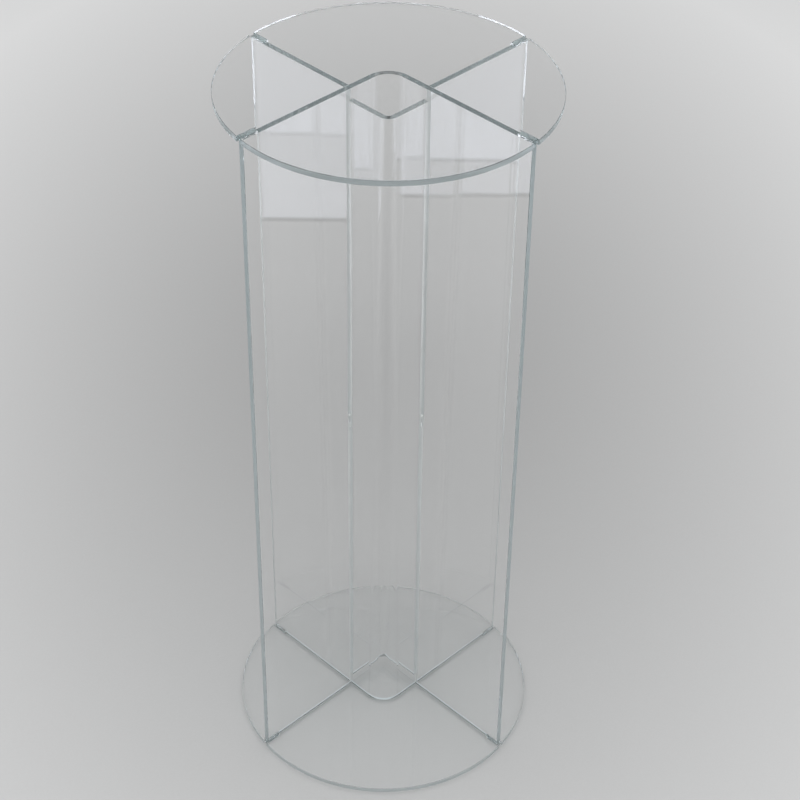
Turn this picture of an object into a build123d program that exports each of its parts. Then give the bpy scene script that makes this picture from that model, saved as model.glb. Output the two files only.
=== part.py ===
from build123d import *
import os

# Clear slot-together bag holder: two round plates joined by two bent panels that cross.
# Millimetres. Origin at the centre of the base plate's underside, +Z up, -Y to the front.

SHEET = 3.175                 # 1/8 inch sheet, used for every piece
PLATE_DIAMETER = 177.8
OVERALL_HEIGHT = 431.8

CROSSING_X = 20.2             # each crossing of the two panels, left and right of the axis
WING_TIP_X = 71.0             # outer end of a wing, on the sheet's middle surface
BEND_RADIUS_FULL = 10.4       # inside of the bend at the end where the sheet is whole
BEND_RADIUS_TONGUE = 2.6      # and at the end of the narrow tongue between the slots

TAB_LENGTH = 9.5              # along the wing, from its tip
TONGUE_GAP = 6.35             # free edge between the slots stops this short of the plate
SLOT_OVERRUN = 4.0            # each slot is cut this far past half height
FIT_GAP = 0.15                # clearance on each side of a sheet in its slot or notch
SEAT_GAP = 0.05               # clearance between a panel's shoulders and the plates
EDGE_BREAK = 0.2              # small bevel left by polishing the edges

PLATE_RADIUS = PLATE_DIAMETER / 2
WING_TIP_Y = WING_TIP_X - CROSSING_X
SLOT_WIDTH = SHEET + 2 * FIT_GAP
HALF_HEIGHT = OVERALL_HEIGHT / 2
SHOULDER_LOW = SHEET + SEAT_GAP
SHOULDER_HIGH = OVERALL_HEIGHT - SHEET - SEAT_GAP
DIAGONAL = 0.5 ** 0.5         # x or y of a unit step along a wing, at 45 degrees


def block(center_x, center_y, turn, length, width, low, high):
    """A box from low to high, its length turned about Z from the X axis."""
    box = Box(length, width, high - low)
    return Pos(center_x, center_y, (low + high) / 2) * Rot(0, 0, turn) * box


def bent_outline(height, inner_radius):
    """The sheet's section at one height: a right angle with its bend at the front."""
    half = SHEET / 2
    side = half * DIAGONAL
    apex_step = half / DIAGONAL
    inner_tip = (WING_TIP_X - side, WING_TIP_Y + side)
    outer_tip = (WING_TIP_X + side, WING_TIP_Y - side)
    inner = FilletPolyline(
        (-inner_tip[0], inner_tip[1]),
        (0, -CROSSING_X + apex_step),
        inner_tip,
        radius=inner_radius,
    )
    outer = FilletPolyline(
        (-outer_tip[0], outer_tip[1]),
        (0, -CROSSING_X - apex_step),
        outer_tip,
        radius=inner_radius + SHEET,
    )
    right_end = Line(inner @ 1, outer @ 1)
    left_end = Line(inner @ 0, outer @ 0)
    outline = make_face(inner.edges() + outer.edges() + [right_end.edge(), left_end.edge()])
    return Pos(0, 0, height) * outline


def shoulder_cut(side, low, high):
    """What is cut off one end of a leg between the bend and its tab."""
    cut_length = WING_TIP_X / DIAGONAL - TAB_LENGTH
    middle_x = WING_TIP_X - (TAB_LENGTH + cut_length / 2) * DIAGONAL
    return block(side * middle_x, middle_x - CROSSING_X, side * 45, cut_length, 4 * SHEET, low, high)


def panel():
    """One bent panel with the bend at the front and its slots open at the top."""
    lower = bent_outline(0, BEND_RADIUS_FULL)
    upper = bent_outline(OVERALL_HEIGHT, BEND_RADIUS_TONGUE)
    body = loft([lower, upper], ruled=True)
    tip_edges = body.edges().filter_by(
        lambda edge: edge.length > HALF_HEIGHT and abs(edge.center().X) > WING_TIP_X - SHEET
    )
    body = chamfer(tip_edges, length=EDGE_BREAK)
    slot_floor = HALF_HEIGHT - SLOT_OVERRUN
    for side in (-1, 1):
        body -= shoulder_cut(side, 0, SHOULDER_LOW)
        body -= shoulder_cut(side, SHOULDER_HIGH, OVERALL_HEIGHT)
        body -= block(side * CROSSING_X, 0, side * 45, SLOT_WIDTH, 2 * SHEET, slot_floor, OVERALL_HEIGHT)
    tongue_top = SHOULDER_HIGH - TONGUE_GAP
    body -= block(0, -CROSSING_X, 0, 2 * CROSSING_X, 2 * CROSSING_X, tongue_top, OVERALL_HEIGHT)
    return body


def plate(underside):
    """A round plate with four open notches in its rim, one for each wing's tab."""
    disc = Cylinder(PLATE_RADIUS, SHEET, align=(Align.CENTER, Align.CENTER, Align.MIN))
    disc = chamfer(disc.edges().filter_by(GeomType.CIRCLE), length=EDGE_BREAK)
    notch_length = TAB_LENGTH + FIT_GAP + SHEET
    inset = (TAB_LENGTH + FIT_GAP - notch_length / 2) * DIAGONAL
    for side in (-1, 1):
        for end in (-1, 1):
            disc -= block(
                side * (WING_TIP_X - inset),
                end * (WING_TIP_Y - inset),
                side * end * 45,
                notch_length,
                SLOT_WIDTH,
                0,
                SHEET,
            )
    return Pos(0, 0, underside) * disc


def write(node, shape):
    shape.label = node
    export_step(shape, f"parts/{node}.step")
    print(node, "volume", round(shape.volume, 1))


os.makedirs("parts", exist_ok=True)

front_panel = panel()
rear_panel = Pos(0, 0, OVERALL_HEIGHT) * Rot(180, 0, 0) * panel()

write("base_disc", plate(0))
write("top_disc", plate(OVERALL_HEIGHT - SHEET))
write("front_panel", front_panel)
write("rear_panel", rear_panel)
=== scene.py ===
"""Looks for the clear slot-together bag holder: acrylic, a pale floor, soft light and the camera."""

import math

import bpy
from mathutils import Matrix, Vector

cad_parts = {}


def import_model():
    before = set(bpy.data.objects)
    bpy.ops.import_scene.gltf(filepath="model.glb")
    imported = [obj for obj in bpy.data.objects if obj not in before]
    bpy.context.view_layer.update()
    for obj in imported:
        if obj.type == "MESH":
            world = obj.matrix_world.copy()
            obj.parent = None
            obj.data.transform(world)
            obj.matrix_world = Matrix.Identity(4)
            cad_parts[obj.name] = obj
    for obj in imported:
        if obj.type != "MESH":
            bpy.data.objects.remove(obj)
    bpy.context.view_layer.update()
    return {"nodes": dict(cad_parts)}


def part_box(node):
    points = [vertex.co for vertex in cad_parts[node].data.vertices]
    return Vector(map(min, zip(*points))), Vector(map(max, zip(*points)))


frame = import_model()

NODES = frame["nodes"]
BASE_LOW, BASE_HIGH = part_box("base_disc")
TOP_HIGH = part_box("top_disc")[1]
PANEL_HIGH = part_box("front_panel")[1]
SHEET = BASE_HIGH.z - BASE_LOW.z
HEIGHT = TOP_HIGH.z

# The wings run at 45 degrees, and these places are at the middle of a wing's sheet.
TAB_LENGTH = 0.0095
WING_TIP_X = PANEL_HIGH.x - SHEET * math.sqrt(0.125)
TAB_START_X = WING_TIP_X - TAB_LENGTH * math.sqrt(0.5)
WING_LINE = PANEL_HIGH.x - PANEL_HIGH.y   # x - y on a wing that runs to the right and back
JOINT_REACH = SHEET * 0.85                # x - y this near to WING_LINE is a tab or its notch
LOW_EDGES = 0.012                         # panel edges below this rest on or near the base plate

# White softboxes stand on the floor beside the object, in three parts on each side. Each part has
# its place across the scene, and the two ends of its length from front to back.
BOXES = {
    "left_box_front": (-0.550, -0.25, -0.012),
    "left_box_middle": (-0.607, -0.012, 0.012),
    "left_box_back": (-0.550, 0.012, 0.25),
    "right_box_front": (0.643, -0.25, -0.012),
    "right_box_middle": (0.588, -0.012, 0.012),
    "right_box_back": (0.643, 0.012, 0.25),
}
BOX_HEIGHT = 0.42
BOX_BRIGHTNESS = 0.93
BOX_COLOUR = (0.87, 0.92, 1.05)
FOOT_HEIGHT = 0.002                       # thin black strip at the foot of each softbox, seen only in reflections

OVERHEAD_PLACE = (0, 0.2, 1.5)
OVERHEAD_SIZE = 1.8
OVERHEAD_BRIGHTNESS = 2.08

# How bright the dim room is.
ROOM_LEVEL = 0.40                         # towards the horizon
ROOM_HIGHER = 0.34                        # from 37 degrees up
ROOM_OVERHEAD = 0.50                      # added straight overhead
ROOM_FRONT = 0.85                         # share of it in front of the object
ROOM_BEHIND = 1.15                        # share of it behind the object
ROOM_COLOUR = (0.985, 0.995, 1.0, 1)

CAMERA_AIM = (0.0079, 0, 0.2299)
CAMERA_AWAY = 1.1518
CAMERA_AZIMUTH = math.radians(0.272)
CAMERA_ELEVATION = math.radians(38.587)
CAMERA_ROLL = math.radians(0.82)
CAMERA_SENSOR = 36
CAMERA_LENS = 92.04

LONG_PATH = 80                            # bounces that light takes along the inside of a sheet


# ---------------------------------------------------------------- node helpers
def new_material(name):
    material = bpy.data.materials.new(name)
    material.use_nodes = True
    material.node_tree.nodes.clear()
    return material, material.node_tree


def plug(tree, socket, value):
    """Sets an input to a number or colour, or links it to another node's output."""
    if isinstance(value, bpy.types.NodeSocket):
        tree.links.new(value, socket)
    elif value is not None:
        socket.default_value = value


def add(tree, kind, **inputs):
    """A node of that kind, with its inputs set or linked by name (spaces as underscores)."""
    node = tree.nodes.new(kind)
    for key, value in inputs.items():
        plug(tree, node.inputs[key.replace("_", " ")], value)
    return node


def calc(tree, operation, a, b=None, c=None):
    node = tree.nodes.new("ShaderNodeMath")
    node.operation = operation
    for socket, value in zip(node.inputs, (a, b, c)):
        plug(tree, socket, value)
    return node.outputs[0]


def times(tree, a, b):
    """The product of two numbers, which for masks is where both are 1."""
    return calc(tree, "MULTIPLY", a, b)


def either(tree, a, b):
    """The greater of two numbers, which for masks is where one of them is 1."""
    return calc(tree, "MAXIMUM", a, b)


def inverse(tree, value):
    return calc(tree, "SUBTRACT", 1.0, value)


def spread(tree, value, low, high, to_low=0.0, to_high=1.0):
    """Maps low..high to to_low..to_high, and holds it there."""
    node = add(tree, "ShaderNodeMapRange", Value=value, From_Min=low, From_Max=high)
    plug(tree, node.inputs["To Min"], to_low)
    plug(tree, node.inputs["To Max"], to_high)
    node.clamp = True
    return node.outputs[0]


def blend(tree, factor, a, b):
    """a where factor is 0, b where it is 1: numbers or number sockets."""
    node = tree.nodes.new("ShaderNodeMix")
    node.data_type = "FLOAT"
    plug(tree, node.inputs[0], factor)
    plug(tree, node.inputs[2], a)
    plug(tree, node.inputs[3], b)
    return node.outputs[0]


def blend_colour(tree, factor, a, b):
    node = tree.nodes.new("ShaderNodeMix")
    node.data_type = "RGBA"
    plug(tree, node.inputs[0], factor)
    plug(tree, node.inputs[6], a)
    plug(tree, node.inputs[7], b)
    return node.outputs[2]


def place(tree, scale=(1, 1, 1), turn=0.0):
    """Object coordinates in metres, scaled and turned about Z."""
    coordinates = tree.nodes.new("ShaderNodeTexCoord")
    mapping = tree.nodes.new("ShaderNodeMapping")
    mapping.inputs["Scale"].default_value = scale
    mapping.inputs["Rotation"].default_value = (0, 0, turn)
    tree.links.new(coordinates.outputs["Object"], mapping.inputs["Vector"])
    return mapping.outputs[0]


def noise(tree, where, scale, detail=2.0, roughness=0.5):
    node = add(tree, "ShaderNodeTexNoise", Vector=where, Scale=scale, Detail=detail)
    node.inputs["Roughness"].default_value = roughness
    return node.outputs["Fac"]


# ---------------------------------------------------------------- acrylic
WHITE = (1, 1, 1, 1)

# What a cut edge lets through: a plate's rim, a wing's tip, a level edge, a tongue's end, a slot.
RIM_TINT = (0.76, 0.80, 0.81, 1)
TIP_TINT = (0.56, 0.61, 0.63, 1)
LEVEL_TINT = (0.53, 0.59, 0.60, 1)
TONGUE_TINT = (0.40, 0.46, 0.47, 1)
SLOT_TINT = (0.88, 0.90, 0.90, 1)

# What a cemented surface lets through.
CEMENT = (0.93, 0.95, 0.955, 1)
SHOULDER_CEMENT = (0.78, 0.82, 0.825, 1)
# Cement on the bottom edges, darkened into painted shade along their front half.
BOTTOM_CEMENT_SHADE = (0.42, 0.46, 0.465, 1)

# The colours of sanded or sawn acrylic.
FROST = (0.46, 0.52, 0.535, 1)
FROST_TIP = (0.57, 0.635, 0.65, 1)
FROST_RIM = (0.64, 0.69, 0.70, 1)
FROST_LIGHT = (0.90, 0.92, 0.92, 1)
# A painted reflection: the light line along the back half of the bottom edges.
BOTTOM_REFLECTION_COLOUR = (0.80, 0.88, 0.92, 1)

# How much of each cut edge is frosted, from 0 where it is polished to 1.
BASE_RIM_HAZE = 0.42
TOP_RIM_HAZE = 0.33
BACK_TIP_HAZE = 0.5                       # on wings that run to the back
FRONT_TIP_HAZE = 0.75                     # on wings that run to the front
LEVEL_HAZE = 0.05
SLOT_HAZE_MIDDLE = 0.8                    # in a slot at half height
SLOT_HAZE_TOP = 0.95
# The bottom edges' back half, frosted into a painted reflection.
BOTTOM_REFLECTION_HAZE = 0.65

# How much light a wetted surface passes straight on.
SLOT_PASSES = 0.3                         # a slot's walls lie close to the other panel
# The bottom edges' front half, passing the painted shade straight on.
BOTTOM_SHADE_PASSES = 0.75

# How strongly the saw marks and the cement's bubbles stand out.
RIM_SAW = 0.04
LEVEL_SAW = 0.03
BUBBLES = 0.6

ABSORPTION = (2.0, 1.6, 1.55)             # per metre, red to blue
ABSORPTION_DENSITY = 3.0
CLEAR_SHADE = (0.985, 0.988, 0.988, 1)    # what shadow and floor light keep through a face
EDGE_SHADE = (0.5, 0.53, 0.53, 1)


def zones(tree):
    """Masks that say where a point is: the way its surface faces, its place, and the joints."""
    geometry = tree.nodes.new("ShaderNodeNewGeometry")
    normal = add(tree, "ShaderNodeSeparateXYZ", Vector=geometry.outputs["True Normal"]).outputs
    spot = add(tree, "ShaderNodeSeparateXYZ", Vector=place(tree)).outputs
    x = calc(tree, "ABSOLUTE", spot["X"])
    y = calc(tree, "ABSOLUTE", spot["Y"])
    outside = calc(tree, "GREATER_THAN", x, TAB_START_X)
    off = calc(tree, "ABSOLUTE", calc(tree, "SUBTRACT", calc(tree, "SUBTRACT", x, y), WING_LINE))
    near = times(tree, outside, calc(tree, "LESS_THAN", off, JOINT_REACH))
    in_base = calc(tree, "LESS_THAN", spot["Z"], SHEET)
    in_top = calc(tree, "GREATER_THAN", spot["Z"], HEIGHT - SHEET)
    slant = times(tree, normal["X"], normal["Y"])
    cement = noise(tree, place(tree), 700.0, roughness=0.6)
    return {
        "level": calc(tree, "GREATER_THAN", calc(tree, "ABSOLUTE", normal["Z"]), 0.5),
        # 0.5 on what is cut across a wing that runs to the back, and -0.5 on that wing's faces.
        "turn": times(tree, slant, calc(tree, "SIGN", spot["X"])),
        "inside": calc(tree, "LESS_THAN", x, TAB_START_X),
        "joint": times(tree, near, either(tree, in_base, in_top)),
        "corner": spread(tree, x, TAB_START_X + 0.002, WING_TIP_X - 0.001),
        "x": x,
        "y": spot["Y"],
        "height": spot["Z"],
        "low": calc(tree, "LESS_THAN", spot["Z"], LOW_EDGES),
        "high": calc(tree, "GREATER_THAN", spot["Z"], HEIGHT - 1.5 * SHEET),
        # The cement wets most of a joint, and leaves dry spots.
        "wet": spread(tree, cement, 0.40, 0.50, 0.15, 0.9),
    }


def plate_finish(tree, zone):
    """How a round plate's surfaces are finished: its rim is sawn, and its notches are cemented."""
    edge = inverse(tree, zone["level"])
    rim = times(tree, edge, inverse(tree, zone["joint"]))
    upper = calc(tree, "GREATER_THAN", zone["height"], HEIGHT / 2)
    return {
        "edge": edge,
        "tint": blend_colour(tree, edge, WHITE, RIM_TINT),
        "haze": times(tree, rim, blend(tree, upper, BASE_RIM_HAZE, TOP_RIM_HAZE)),
        "haze_colour": blend_colour(tree, upper, FROST_LIGHT, FROST_RIM),
        "through": times(tree, zone["joint"], zone["wet"]),
        "through_colour": CEMENT,
        "saw": times(tree, rim, RIM_SAW),
    }


def panel_finish(tree, zone, wings_go_back):
    """How a panel's surfaces are finished: sawn wing tips and ends, slots, shoulders and tabs, and a
    painted reflection and painted shade on the bottom edges.
    """
    level, joint = zone["level"], zone["joint"]
    turn = zone["turn"] if wings_go_back else times(tree, zone["turn"], -1.0)
    across = calc(tree, "GREATER_THAN", turn, 0.25)
    slot = times(tree, across, zone["inside"])
    tip = calc(tree, "SUBTRACT", across, slot)
    edge = either(tree, level, across)
    plain = times(tree, level, inverse(tree, joint))
    top = times(tree, plain, zone["high"])
    bottom = times(tree, plain, zone["low"])
    ends = either(tree, zone["low"], zone["high"])
    open_end = times(tree, level, inverse(tree, ends))
    near_top = calc(tree, "GREATER_THAN", zone["height"], HEIGHT * 0.9)
    tongue = times(tree, open_end, near_top)
    slot_end = calc(tree, "SUBTRACT", open_end, tongue)
    # The bottom edges carry a painted reflection, a light line along their back half, and painted
    # shade, a dark line along their front half.
    if wings_go_back:
        back_half = calc(tree, "LESS_THAN", calc(tree, "SUBTRACT", zone["x"], zone["y"]), WING_LINE)
    else:
        back_half = calc(tree, "GREATER_THAN", calc(tree, "ADD", zone["x"], zone["y"]), WING_LINE)
    reflection_half = times(tree, bottom, back_half)
    shade_half = calc(tree, "SUBTRACT", bottom, reflection_half)

    tint = blend_colour(tree, level, WHITE, LEVEL_TINT)
    tint = blend_colour(tree, tip, tint, TIP_TINT)
    tint = blend_colour(tree, slot, tint, SLOT_TINT)
    tint = blend_colour(tree, tongue, tint, TONGUE_TINT)

    # The tabs are sanded flush with the plates; the slots end in small rough faces; the bottom edges'
    # back half is frosted into a painted reflection.
    sanding = noise(tree, place(tree), 500.0, detail=3.0, roughness=0.6)
    sanded = spread(tree, sanding, 0.3, 0.7, 0.35, 0.85)
    sanded = times(tree, sanded, blend(tree, zone["corner"], 1.0, 0.25))
    high_up = spread(tree, zone["height"], HEIGHT / 2, HEIGHT)
    slot_haze = blend(tree, high_up, SLOT_HAZE_MIDDLE, SLOT_HAZE_TOP)
    haze = times(tree, tip, BACK_TIP_HAZE if wings_go_back else FRONT_TIP_HAZE)
    for mask, share in (
        (level, LEVEL_HAZE),
        (slot, slot_haze),
        (times(tree, joint, level), sanded),
        (slot_end, 1.0),
        (reflection_half, BOTTOM_REFLECTION_HAZE),
    ):
        haze = either(tree, haze, times(tree, mask, share))

    # The tips' frost goes from a lighter colour low down to a darker one higher up.
    tip_rise = spread(tree, zone["height"], 0.03, 0.25)
    tip_colour = blend_colour(tree, tip_rise, FROST_RIM, FROST_TIP)
    slot_colour = blend_colour(tree, high_up, FROST_LIGHT, WHITE)
    haze_colour = blend_colour(tree, tip, FROST, tip_colour)
    haze_colour = blend_colour(tree, slot, haze_colour, slot_colour)
    haze_colour = blend_colour(tree, reflection_half, haze_colour, BOTTOM_REFLECTION_COLOUR)
    haze_colour = blend_colour(tree, slot_end, haze_colour, WHITE)

    # Cement fills the shoulders and the tabs' sides, and lets painted shade through along the bottom
    # edges' front half.
    runs = noise(tree, place(tree, (500, 500, 120)), 1.0)
    streaks = spread(tree, runs, 0.35, 0.65, 0.3, 0.7)
    through = times(tree, top, streaks)
    for mask, share in (
        (times(tree, joint, inverse(tree, level)), zone["wet"]),
        (slot, SLOT_PASSES),
        (shade_half, BOTTOM_SHADE_PASSES),
    ):
        through = either(tree, through, times(tree, mask, share))
    through_colour = blend_colour(tree, bottom, CEMENT, BOTTOM_CEMENT_SHADE)
    through_colour = blend_colour(tree, top, through_colour, SHOULDER_CEMENT)
    return {
        "edge": edge,
        "tint": tint,
        "haze": haze,
        "haze_colour": haze_colour,
        "through": through,
        "through_colour": through_colour,
        "saw": times(tree, level, LEVEL_SAW),
    }


def face_roughness(tree):
    """Smudges a few centimetres across, and hairline wiping marks."""
    smudge = spread(tree, noise(tree, place(tree), 18.0, detail=3.0, roughness=0.6), 0.52, 0.75)
    wipe = spread(tree, noise(tree, place(tree, (260, 260, 9), turn=0.35), 1.0), 0.62, 0.72)
    return calc(tree, "ADD", times(tree, smudge, 0.03), times(tree, wipe, 0.01))


def relief(tree, zone, finish):
    """Saw marks on the cut edges, and bubbles in the cement."""
    saw = noise(tree, place(tree), 900.0, roughness=0.6)
    bubbles = add(tree, "ShaderNodeTexVoronoi", Vector=place(tree), Scale=900.0)
    bubble = spread(tree, bubbles.outputs["Distance"], 0.1, 0.5)
    height = blend(tree, zone["joint"], saw, bubble)
    strength = blend(tree, zone["joint"], finish["saw"], BUBBLES)
    bump = add(tree, "ShaderNodeBump", Strength=strength, Distance=0.00015, Height=height)
    return bump.outputs[0]


def mix(tree, share, a, b):
    """Surface a, with that share of surface b."""
    node = tree.nodes.new("ShaderNodeMixShader")
    plug(tree, node.inputs[0], share)
    tree.links.new(a.outputs[0], node.inputs[1])
    tree.links.new(b.outputs[0], node.inputs[2])
    return node


def acrylic(name, wings_go_back=None):
    """Clear cast acrylic: polished faces with faint marks, sawn edges, and cemented joints.

    Without wings it is a round plate's. A panel's wings run to the back on the front panel, and to
    the front on the rear panel.
    """
    material, tree = new_material(name)
    zone = zones(tree)
    if wings_go_back is None:
        finish = plate_finish(tree, zone)
    else:
        finish = panel_finish(tree, zone, wings_go_back)
    bump = relief(tree, zone, finish)
    smooth = inverse(tree, either(tree, finish["edge"], zone["joint"]))
    rough = times(tree, face_roughness(tree), smooth)

    glass = add(tree, "ShaderNodeBsdfPrincipled", Base_Color=finish["tint"], Roughness=rough, IOR=1.49,
                Transmission_Weight=1.0, Normal=bump)
    matte = add(tree, "ShaderNodeBsdfDiffuse", Color=finish["haze_colour"], Normal=bump)
    glow = add(tree, "ShaderNodeBsdfTranslucent", Color=finish["haze_colour"], Normal=bump)
    cement = add(tree, "ShaderNodeBsdfTransparent", Color=finish["through_colour"])
    shade = blend_colour(tree, finish["edge"], CLEAR_SHADE, EDGE_SHADE)
    clear = add(tree, "ShaderNodeBsdfTransparent", Color=shade)

    frost = mix(tree, 0.5, matte, glow)
    surface = mix(tree, finish["haze"], glass, frost)
    surface = mix(tree, finish["through"], surface, cement)
    # The floor's own light and the lamps' shadows pass straight through the clear sheets.
    path = tree.nodes.new("ShaderNodeLightPath")
    surface = mix(tree, path.outputs["Is Diffuse Ray"], surface, clear)
    surface = mix(tree, path.outputs["Is Shadow Ray"], surface, clear)

    out = tree.nodes.new("ShaderNodeOutputMaterial")
    tree.links.new(surface.outputs[0], out.inputs["Surface"])
    kept = tuple(1 - part / ABSORPTION_DENSITY for part in ABSORPTION) + (1,)
    volume = add(tree, "ShaderNodeVolumeAbsorption", Color=kept, Density=ABSORPTION_DENSITY)
    tree.links.new(volume.outputs[0], out.inputs["Volume"])
    return material


def dress():
    plate = acrylic("clear_plate")
    for node, material in (
        ("base_disc", plate),
        ("top_disc", plate),
        ("front_panel", acrylic("clear_panel_front", True)),
        ("rear_panel", acrylic("clear_panel_rear", False)),
    ):
        for slot in NODES[node].material_slots:
            slot.material = material


# ---------------------------------------------------------------- stage
FLOOR_DROP = 0.0003           # air under the base plate, which never beds down fully
FLOOR_HALF = 6.0
FLOOR_SHADE_MIDDLE = (0.0, 0.323)  # the middle of the painted shade on the floor
FLOOR_BASE = 0.318            # the darkest tone
FLOOR_GAIN = 0.190            # how much lighter it is at FLOOR_REACH to the side
FLOOR_STRETCH = 1.545         # the painted shade is that much longer from front to back
FLOOR_POWER = 1.40
FLOOR_LIGHTEST = 0.70
FLOOR_REACH = 0.3
UNDER_SHADOW_MIDDLE = (0.0, 0.055)   # the middle of the faint painted shadow under the object


def slab(name, low, high, material):
    """A stage box, or a flat sheet where low and high are at one height."""
    mesh = bpy.data.meshes.new(name)
    x0, y0, z0 = low
    x1, y1, z1 = high
    corners = [(x0, y0, z0), (x1, y0, z0), (x1, y1, z0), (x0, y1, z0)]
    faces = [(0, 1, 2, 3)]
    if z1 > z0:
        corners += [(x0, y0, z1), (x1, y0, z1), (x1, y1, z1), (x0, y1, z1)]
        faces = [(3, 2, 1, 0), (4, 5, 6, 7), (0, 1, 5, 4), (1, 2, 6, 5), (2, 3, 7, 6), (3, 0, 4, 7)]
    mesh.from_pydata(corners, [], faces)
    mesh.materials.append(material)
    obj = bpy.data.objects.new(name, mesh)
    bpy.context.scene.collection.objects.link(obj)
    return obj


def distance(tree, spot, middle, stretch):
    """How far a spot is from the middle, with front-to-back distances divided by the stretch."""
    aside = calc(tree, "SUBTRACT", spot["X"], middle[0])
    back = calc(tree, "DIVIDE", calc(tree, "SUBTRACT", spot["Y"], middle[1]), stretch)
    square = calc(tree, "ADD", times(tree, aside, aside), times(tree, back, back))
    return calc(tree, "SQRT", square)


def floor():
    """A wide sheet of pale paper, with painted shade that darkens it near the object and behind it,
    and a faint painted shadow under the object.
    """
    material, tree = new_material("floor_paper")
    out = tree.nodes.new("ShaderNodeOutputMaterial")
    spot = add(tree, "ShaderNodeSeparateXYZ", Vector=place(tree)).outputs
    # Painted shade: the tone darkens towards a spot behind the object, and lightens outwards.
    reach = distance(tree, spot, FLOOR_SHADE_MIDDLE, FLOOR_STRETCH)
    reach = calc(tree, "POWER", calc(tree, "DIVIDE", reach, FLOOR_REACH), FLOOR_POWER)
    tone_and_shade = calc(tree, "MULTIPLY_ADD", reach, FLOOR_GAIN, FLOOR_BASE)
    tone_and_shade = calc(tree, "MINIMUM", tone_and_shade, FLOOR_LIGHTEST)
    # Painted shadow: a faint darker spot under the object.
    painted_shadow = spread(tree, distance(tree, spot, UNDER_SHADOW_MIDDLE, 1.0), 0.02, 0.08, 0.92, 1.0)
    grain = noise(tree, place(tree), 900.0, detail=3.0, roughness=0.6)
    fibre = spread(tree, grain, 0.3, 0.7, 0.985, 1.015)
    tone_and_shade = times(tree, times(tree, tone_and_shade, painted_shadow), fibre)
    shade = add(tree, "ShaderNodeCombineColor", Red=tone_and_shade, Green=tone_and_shade, Blue=tone_and_shade)
    paper = add(tree, "ShaderNodeBsdfPrincipled", Base_Color=shade.outputs[0], Roughness=0.9)
    paper.inputs["Specular IOR Level"].default_value = 0.0
    tree.links.new(paper.outputs[0], out.inputs["Surface"])
    low = (-FLOOR_HALF, -FLOOR_HALF, -FLOOR_DROP)
    slab("floor", low, (FLOOR_HALF, FLOOR_HALF, -FLOOR_DROP), material)


def reflected(tree):
    """1 for light that a mirror-like surface has turned back, and 0 for a straight look."""
    path = tree.nodes.new("ShaderNodeLightPath")
    return calc(tree, "GREATER_THAN", path.outputs["Glossy Depth"], 0.5)


def box_feet():
    """A thin black strip along the foot of each softbox, seen only in reflections, where it draws a
    dark line.
    """
    material, tree = new_material("dark_foot_strip")
    out = tree.nodes.new("ShaderNodeOutputMaterial")
    black = add(tree, "ShaderNodeBsdfDiffuse", Color=(0.05, 0.05, 0.05, 1))
    surface = mix(tree, reflected(tree), tree.nodes.new("ShaderNodeBsdfTransparent"), black)
    tree.links.new(surface.outputs[0], out.inputs["Surface"])
    for name, (x, front, back) in BOXES.items():
        low = (x - FOOT_HEIGHT, front, 0)
        foot = slab(name + "_foot", low, (x + FOOT_HEIGHT, back, FOOT_HEIGHT), material)
        for ray in ("camera", "diffuse", "shadow"):
            setattr(foot, "visible_" + ray, False)


def area(name, spot, facing, size_x, size_y, brightness, color=(1, 1, 1)):
    """A one-sided rectangular lamp whose surface has that brightness."""
    data = bpy.data.lights.new(name, "AREA")
    data.shape = "RECTANGLE"
    data.size, data.size_y = size_x, size_y
    data.energy = brightness * math.pi * size_x * size_y
    data.color = color
    obj = bpy.data.objects.new(name, data)
    obj.location = spot
    obj.rotation_euler = Vector(facing).to_track_quat("-Z", "Y").to_euler()
    bpy.context.scene.collection.objects.link(obj)
    return obj


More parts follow.
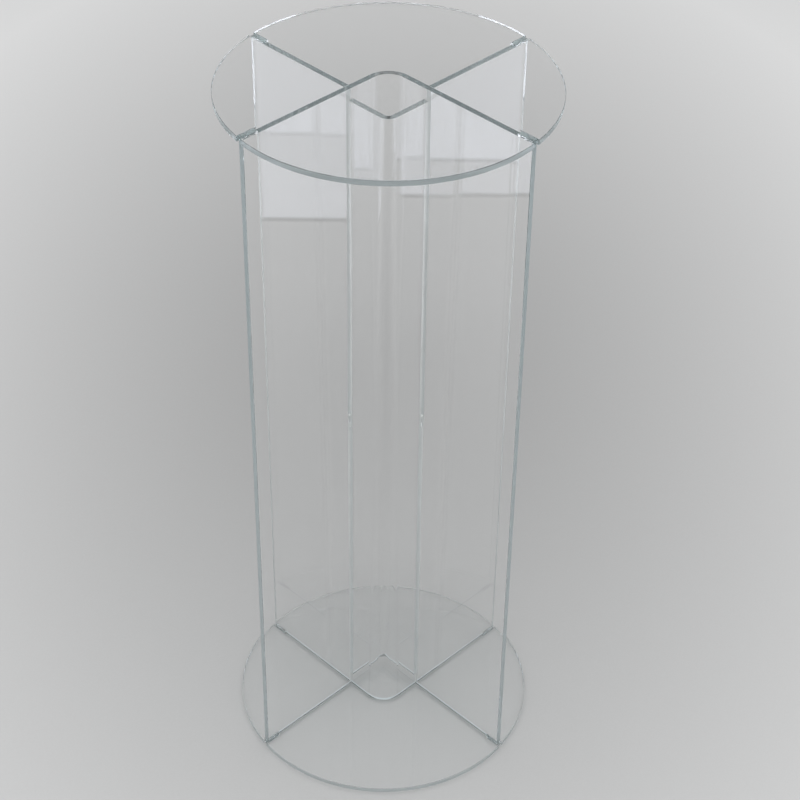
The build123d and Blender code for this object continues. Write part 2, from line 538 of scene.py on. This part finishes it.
def world():
    """A dim room that is a little lighter overhead and behind the object."""
    room = bpy.data.worlds.new("soft_room")
    room.use_nodes = True
    tree = room.node_tree
    looking = tree.nodes.new("ShaderNodeTexCoord").outputs["Generated"]
    direction = add(tree, "ShaderNodeSeparateXYZ", Vector=looking).outputs
    low = spread(tree, direction["Z"], 0.0, 0.6, ROOM_LEVEL, ROOM_HIGHER)
    up = calc(tree, "ADD", low, spread(tree, direction["Z"], 0.7, 1.0, 0.0, ROOM_OVERHEAD))
    behind = spread(tree, direction["Y"], -1.0, 1.0, ROOM_FRONT, ROOM_BEHIND)
    background = tree.nodes["Background"]
    plug(tree, background.inputs["Strength"], times(tree, up, behind))
    plug(tree, background.inputs["Color"], ROOM_COLOUR)
    bpy.context.scene.world = room


def lights():
    """The softboxes are seen only as reflections, and the overhead light not at all."""
    middle = BOX_HEIGHT / 2 + FOOT_HEIGHT
    for name, (x, front, back) in BOXES.items():
        spot = (x, (front + back) / 2, middle)
        box = area(name, spot, (-x, 0, 0), back - front, BOX_HEIGHT, BOX_BRIGHTNESS, BOX_COLOUR)
        box.visible_camera = False
        box.visible_diffuse = False
        box.data.use_nodes = True
        tree = box.data.node_tree
        plug(tree, tree.nodes["Emission"].inputs["Strength"], reflected(tree))
    down = (0, 0, -1)
    size = OVERHEAD_SIZE
    overhead = area("overhead", OVERHEAD_PLACE, down, size, size, OVERHEAD_BRIGHTNESS)
    for ray in ("camera", "glossy", "transmission"):
        setattr(overhead, "visible_" + ray, False)


def camera():
    """Stands where the whole object fills the frame, looking down on it."""
    data = bpy.data.cameras.new("camera")
    data.sensor_width = CAMERA_SENSOR
    data.lens = CAMERA_LENS
    obj = bpy.data.objects.new("camera", data)
    bpy.context.scene.collection.objects.link(obj)
    forward = Vector((
        math.sin(CAMERA_AZIMUTH) * math.cos(CAMERA_ELEVATION),
        math.cos(CAMERA_AZIMUTH) * math.cos(CAMERA_ELEVATION),
        -math.sin(CAMERA_ELEVATION),
    ))
    turn = forward.to_track_quat("-Z", "Y").to_matrix().to_4x4() @ Matrix.Rotation(CAMERA_ROLL, 4, "Z")
    obj.matrix_world = Matrix.Translation(Vector(CAMERA_AIM) - CAMERA_AWAY * forward) @ turn
    bpy.context.scene.camera = obj


def colour_and_bounces():
    """Plain colours, and light paths long enough to run the length of a clear sheet inside it."""
    scene = bpy.context.scene
    scene.view_settings.view_transform = "Standard"
    scene.cycles.max_bounces = LONG_PATH
    scene.cycles.transmission_bounces = LONG_PATH
    scene.cycles.glossy_bounces = LONG_PATH
    scene.cycles.transparent_max_bounces = 32
    scene.cycles.caustics_reflective = False
    scene.cycles.caustics_refractive = False


colour_and_bounces()
camera()
world()
floor()
box_feet()
lights()
dress()
